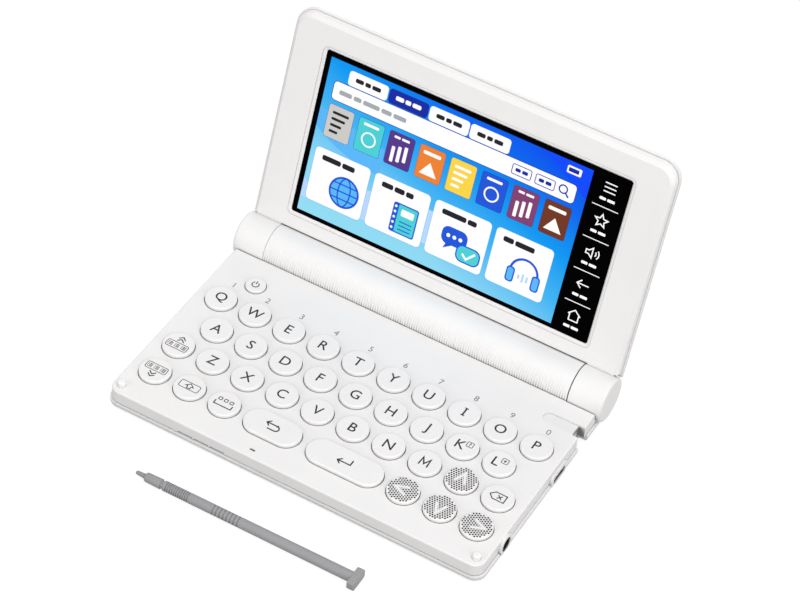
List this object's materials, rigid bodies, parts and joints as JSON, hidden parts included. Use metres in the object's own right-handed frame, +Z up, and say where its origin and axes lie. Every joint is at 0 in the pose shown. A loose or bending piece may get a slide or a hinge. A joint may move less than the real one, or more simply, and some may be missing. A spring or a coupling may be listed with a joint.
{
  "type": "electronic dictionary",
  "caption": "Clamshell electronic dictionary with a barrel hinge, a touch screen in the lid, round letter keys on the base, side sockets and a loose stylus in front.",
  "frame": {"origin": "on the table, under the middle of the open object and its stylus", "axes": "+X to the user's right along the hinge, +Y from the front edge towards the hinge, +Z up"},
  "size_m": [0.1484, 0.149, 0.094],
  "materials": {
    "case_white": "satin",
    "tray_white": "satin",
    "lid_white": "satin",
    "key_white": "satin",
    "arrow_key": "satin",
    "window": "gloss",
    "display": "gloss",
    "board": "satin",
    "membrane": "matte",
    "rubber": "matte",
    "rubber_feet": "matte",
    "steel": "satin",
    "pin_steel": "satin",
    "spring_steel": "satin",
    "cell_can": "satin",
    "socket_black": "satin",
    "socket_shell": "satin",
    "speaker_black": "matte",
    "mic_black": "matte",
    "stylus_grey": "satin",
    "nib_grey": "satin"
  },
  "bodies": {
    "base": {"upper_case": "case_white", "lower_case": "tray_white", "barrel_cover": "case_white", "main_board": "board", "key_membrane": "membrane", "deck_bumpers": "rubber", "feet": "rubber_feet", "case_screws": "steel", "battery_contacts": "spring_steel", "battery_cells": "cell_can", "headphone_jack": "socket_black", "usb_socket": "socket_shell", "speaker": "speaker_black", "microphone": "mic_black"},
    "lid": {"lid_cover": "lid_white", "lid_bezel": "lid_white", "touch_glass": "window", "lcd_module": "display", "hinge_pins": "pin_steel"},
    "battery_door": {"battery_door": "tray_white"},
    "stylus": {"stylus_body": "stylus_grey", "stylus_nib": "nib_grey"},
    "key_q": {"key_q": "key_white"},
    "key_w": {"key_w": "key_white"},
    "key_e": {"key_e": "key_white"},
    "key_r": {"key_r": "key_white"},
    "key_t": {"key_t": "key_white"},
    "key_y": {"key_y": "key_white"},
    "key_u": {"key_u": "key_white"},
    "key_i": {"key_i": "key_white"},
    "key_o": {"key_o": "key_white"},
    "key_p": {"key_p": "key_white"},
    "key_a": {"key_a": "key_white"},
    "key_s": {"key_s": "key_white"},
    "key_d": {"key_d": "key_white"},
    "key_f": {"key_f": "key_white"},
    "key_g": {"key_g": "key_white"},
    "key_h": {"key_h": "key_white"},
    "key_j": {"key_j": "key_white"},
    "key_k": {"key_k": "key_white"},
    "key_l": {"key_l": "key_white"},
    "key_prev": {"key_prev": "key_white"},
    "key_z": {"key_z": "key_white"},
    "key_x": {"key_x": "key_white"},
    "key_c": {"key_c": "key_white"},
    "key_v": {"key_v": "key_white"},
    "key_b": {"key_b": "key_white"},
    "key_n": {"key_n": "key_white"},
    "key_m": {"key_m": "key_white"},
    "key_up": {"key_up": "arrow_key"},
    "key_delete": {"key_delete": "key_white"},
    "key_next": {"key_next": "key_white"},
    "key_shift": {"key_shift": "key_white"},
    "key_space": {"key_space": "key_white"},
    "key_back": {"key_back": "key_white"},
    "key_enter": {"key_enter": "key_white"},
    "key_left": {"key_left": "arrow_key"},
    "key_down": {"key_down": "arrow_key"},
    "key_right": {"key_right": "arrow_key"},
    "key_power": {"key_power": "key_white"}
  },
  "joints": [
    {"name": "lid_hinge", "type": "hinge", "parent": "base", "child": "lid", "pos_m": [0, 0.041, 0.0087], "axis": [1, 0, 0], "range_deg": [-47.64, 107.36]},
    {"name": "battery_door_slide", "type": "slide", "parent": "base", "child": "battery_door", "axis": [0, 1, 0], "range_m": [0, 0.03]},
    {"name": "stylus_lift", "type": "slide", "parent": "base", "child": "stylus", "axis": [0, 0, 1], "range_m": [0, 0.05]},
    {"name": "q_press", "type": "slide", "parent": "base", "child": "key_q", "axis": [0, 0, -1], "range_m": [0, 0.0008], "stiffness_N_per_m": 600},
    {"name": "w_press", "type": "slide", "parent": "base", "child": "key_w", "axis": [0, 0, -1], "range_m": [0, 0.0008], "stiffness_N_per_m": 600},
    {"name": "e_press", "type": "slide", "parent": "base", "child": "key_e", "axis": [0, 0, -1], "range_m": [0, 0.0008], "stiffness_N_per_m": 600},
    {"name": "r_press", "type": "slide", "parent": "base", "child": "key_r", "axis": [0, 0, -1], "range_m": [0, 0.0008], "stiffness_N_per_m": 600},
    {"name": "t_press", "type": "slide", "parent": "base", "child": "key_t", "axis": [0, 0, -1], "range_m": [0, 0.0008], "stiffness_N_per_m": 600},
    {"name": "y_press", "type": "slide", "parent": "base", "child": "key_y", "axis": [0, 0, -1], "range_m": [0, 0.0008], "stiffness_N_per_m": 600},
    {"name": "u_press", "type": "slide", "parent": "base", "child": "key_u", "axis": [0, 0, -1], "range_m": [0, 0.0008], "stiffness_N_per_m": 600},
    {"name": "i_press", "type": "slide", "parent": "base", "child": "key_i", "axis": [0, 0, -1], "range_m": [0, 0.0008], "stiffness_N_per_m": 600},
    {"name": "o_press", "type": "slide", "parent": "base", "child": "key_o", "axis": [0, 0, -1], "range_m": [0, 0.0008], "stiffness_N_per_m": 600},
    {"name": "p_press", "type": "slide", "parent": "base", "child": "key_p", "axis": [0, 0, -1], "range_m": [0, 0.0008], "stiffness_N_per_m": 600},
    {"name": "a_press", "type": "slide", "parent": "base", "child": "key_a", "axis": [0, 0, -1], "range_m": [0, 0.0008], "stiffness_N_per_m": 600},
    {"name": "s_press", "type": "slide", "parent": "base", "child": "key_s", "axis": [0, 0, -1], "range_m": [0, 0.0008], "stiffness_N_per_m": 600},
    {"name": "d_press", "type": "slide", "parent": "base", "child": "key_d", "axis": [0, 0, -1], "range_m": [0, 0.0008], "stiffness_N_per_m": 600},
    {"name": "f_press", "type": "slide", "parent": "base", "child": "key_f", "axis": [0, 0, -1], "range_m": [0, 0.0008], "stiffness_N_per_m": 600},
    {"name": "g_press", "type": "slide", "parent": "base", "child": "key_g", "axis": [0, 0, -1], "range_m": [0, 0.0008], "stiffness_N_per_m": 600},
    {"name": "h_press", "type": "slide", "parent": "base", "child": "key_h", "axis": [0, 0, -1], "range_m": [0, 0.0008], "stiffness_N_per_m": 600},
    {"name": "j_press", "type": "slide", "parent": "base", "child": "key_j", "axis": [0, 0, -1], "range_m": [0, 0.0008], "stiffness_N_per_m": 600},
    {"name": "k_press", "type": "slide", "parent": "base", "child": "key_k", "axis": [0, 0, -1], "range_m": [0, 0.0008], "stiffness_N_per_m": 600},
    {"name": "l_press", "type": "slide", "parent": "base", "child": "key_l", "axis": [0, 0, -1], "range_m": [0, 0.0008], "stiffness_N_per_m": 600},
    {"name": "prev_press", "type": "slide", "parent": "base", "child": "key_prev", "axis": [0, 0, -1], "range_m": [0, 0.0008], "stiffness_N_per_m": 600},
    {"name": "z_press", "type": "slide", "parent": "base", "child": "key_z", "axis": [0, 0, -1], "range_m": [0, 0.0008], "stiffness_N_per_m": 600},
    {"name": "x_press", "type": "slide", "parent": "base", "child": "key_x", "axis": [0, 0, -1], "range_m": [0, 0.0008], "stiffness_N_per_m": 600},
    {"name": "c_press", "type": "slide", "parent": "base", "child": "key_c", "axis": [0, 0, -1], "range_m": [0, 0.0008], "stiffness_N_per_m": 600},
    {"name": "v_press", "type": "slide", "parent": "base", "child": "key_v", "axis": [0, 0, -1], "range_m": [0, 0.0008], "stiffness_N_per_m": 600},
    {"name": "b_press", "type": "slide", "parent": "base", "child": "key_b", "axis": [0, 0, -1], "range_m": [0, 0.0008], "stiffness_N_per_m": 600},
    {"name": "n_press", "type": "slide", "parent": "base", "child": "key_n", "axis": [0, 0, -1], "range_m": [0, 0.0008], "stiffness_N_per_m": 600},
    {"name": "m_press", "type": "slide", "parent": "base", "child": "key_m", "axis": [0, 0, -1], "range_m": [0, 0.0008], "stiffness_N_per_m": 600},
    {"name": "up_press", "type": "slide", "parent": "base", "child": "key_up", "axis": [0, 0, -1], "range_m": [0, 0.0008], "stiffness_N_per_m": 600},
    {"name": "delete_press", "type": "slide", "parent": "base", "child": "key_delete", "axis": [0, 0, -1], "range_m": [0, 0.0008], "stiffness_N_per_m": 600},
    {"name": "next_press", "type": "slide", "parent": "base", "child": "key_next", "axis": [0, 0, -1], "range_m": [0, 0.0008], "stiffness_N_per_m": 600},
    {"name": "shift_press", "type": "slide", "parent": "base", "child": "key_shift", "axis": [0, 0, -1], "range_m": [0, 0.0008], "stiffness_N_per_m": 600},
    {"name": "space_press", "type": "slide", "parent": "base", "child": "key_space", "axis": [0, 0, -1], "range_m": [0, 0.0008], "stiffness_N_per_m": 600},
    {"name": "back_press", "type": "slide", "parent": "base", "child": "key_back", "axis": [0, 0, -1], "range_m": [0, 0.0008], "stiffness_N_per_m": 600},
    {"name": "enter_press", "type": "slide", "parent": "base", "child": "key_enter", "axis": [0, 0, -1], "range_m": [0, 0.0008], "stiffness_N_per_m": 600},
    {"name": "left_press", "type": "slide", "parent": "base", "child": "key_left", "axis": [0, 0, -1], "range_m": [0, 0.0008], "stiffness_N_per_m": 600},
    {"name": "down_press", "type": "slide", "parent": "base", "child": "key_down", "axis": [0, 0, -1], "range_m": [0, 0.0008], "stiffness_N_per_m": 600},
    {"name": "right_press", "type": "slide", "parent": "base", "child": "key_right", "axis": [0, 0, -1], "range_m": [0, 0.0008], "stiffness_N_per_m": 600},
    {"name": "power_press", "type": "slide", "parent": "base", "child": "key_power", "axis": [0, 0, -1], "range_m": [0, 0.0008], "stiffness_N_per_m": 600}
  ]
}
